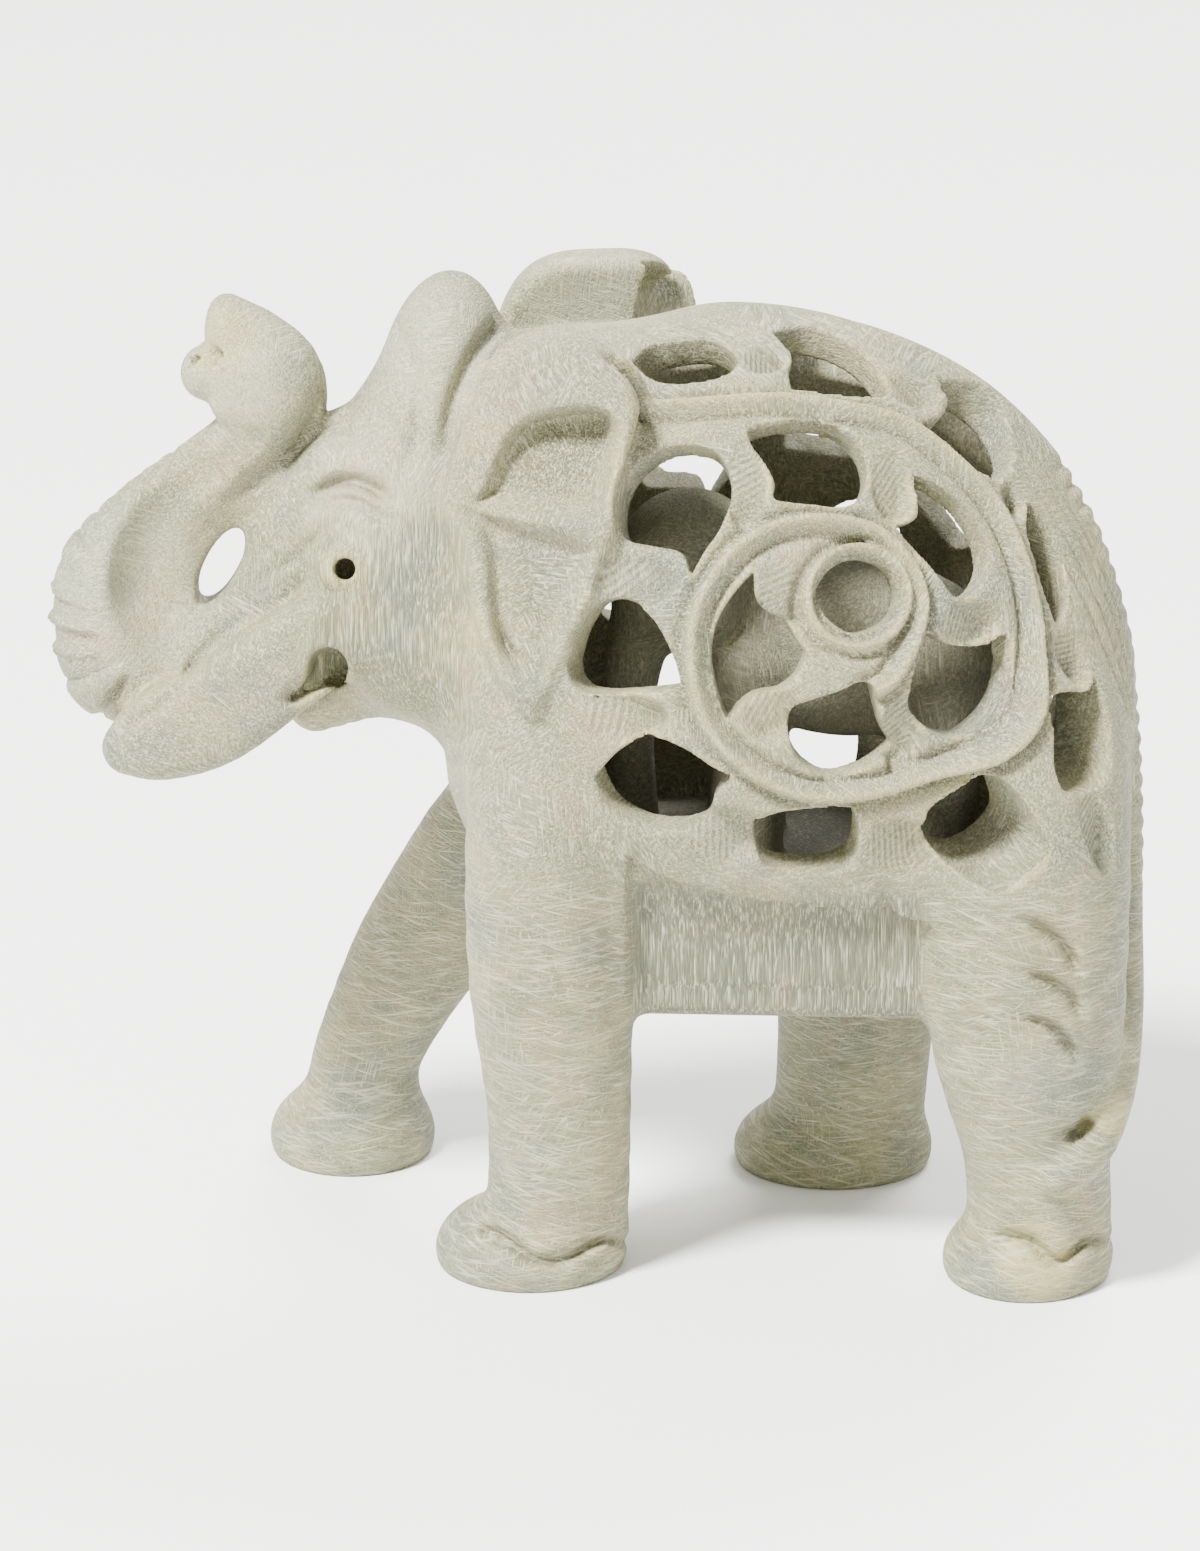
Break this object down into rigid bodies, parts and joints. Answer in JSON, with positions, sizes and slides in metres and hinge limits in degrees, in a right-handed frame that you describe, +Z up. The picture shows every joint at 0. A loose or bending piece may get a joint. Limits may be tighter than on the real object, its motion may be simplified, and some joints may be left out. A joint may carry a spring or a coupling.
{
  "type": "carved stone elephant figurine",
  "caption": "Striding elephant with raised curled trunk, hollow body pierced with vine scroll and a small calf inside, carved from one block of soapstone.",
  "frame": {"origin": "on the floor, under the middle of the figure's bounding box", "axes": "+Z up; the head points to -X; the elephant's left flank faces -Y"},
  "size_m": [0.1119, 0.0521, 0.0998],
  "materials": {
    "soapstone": "filed matt soapstone, pale grey-green with cream, pinkish and grey-blue patches"
  },
  "bodies": {
    "root": {"elephant": "soapstone"}
  },
  "joints": []
}
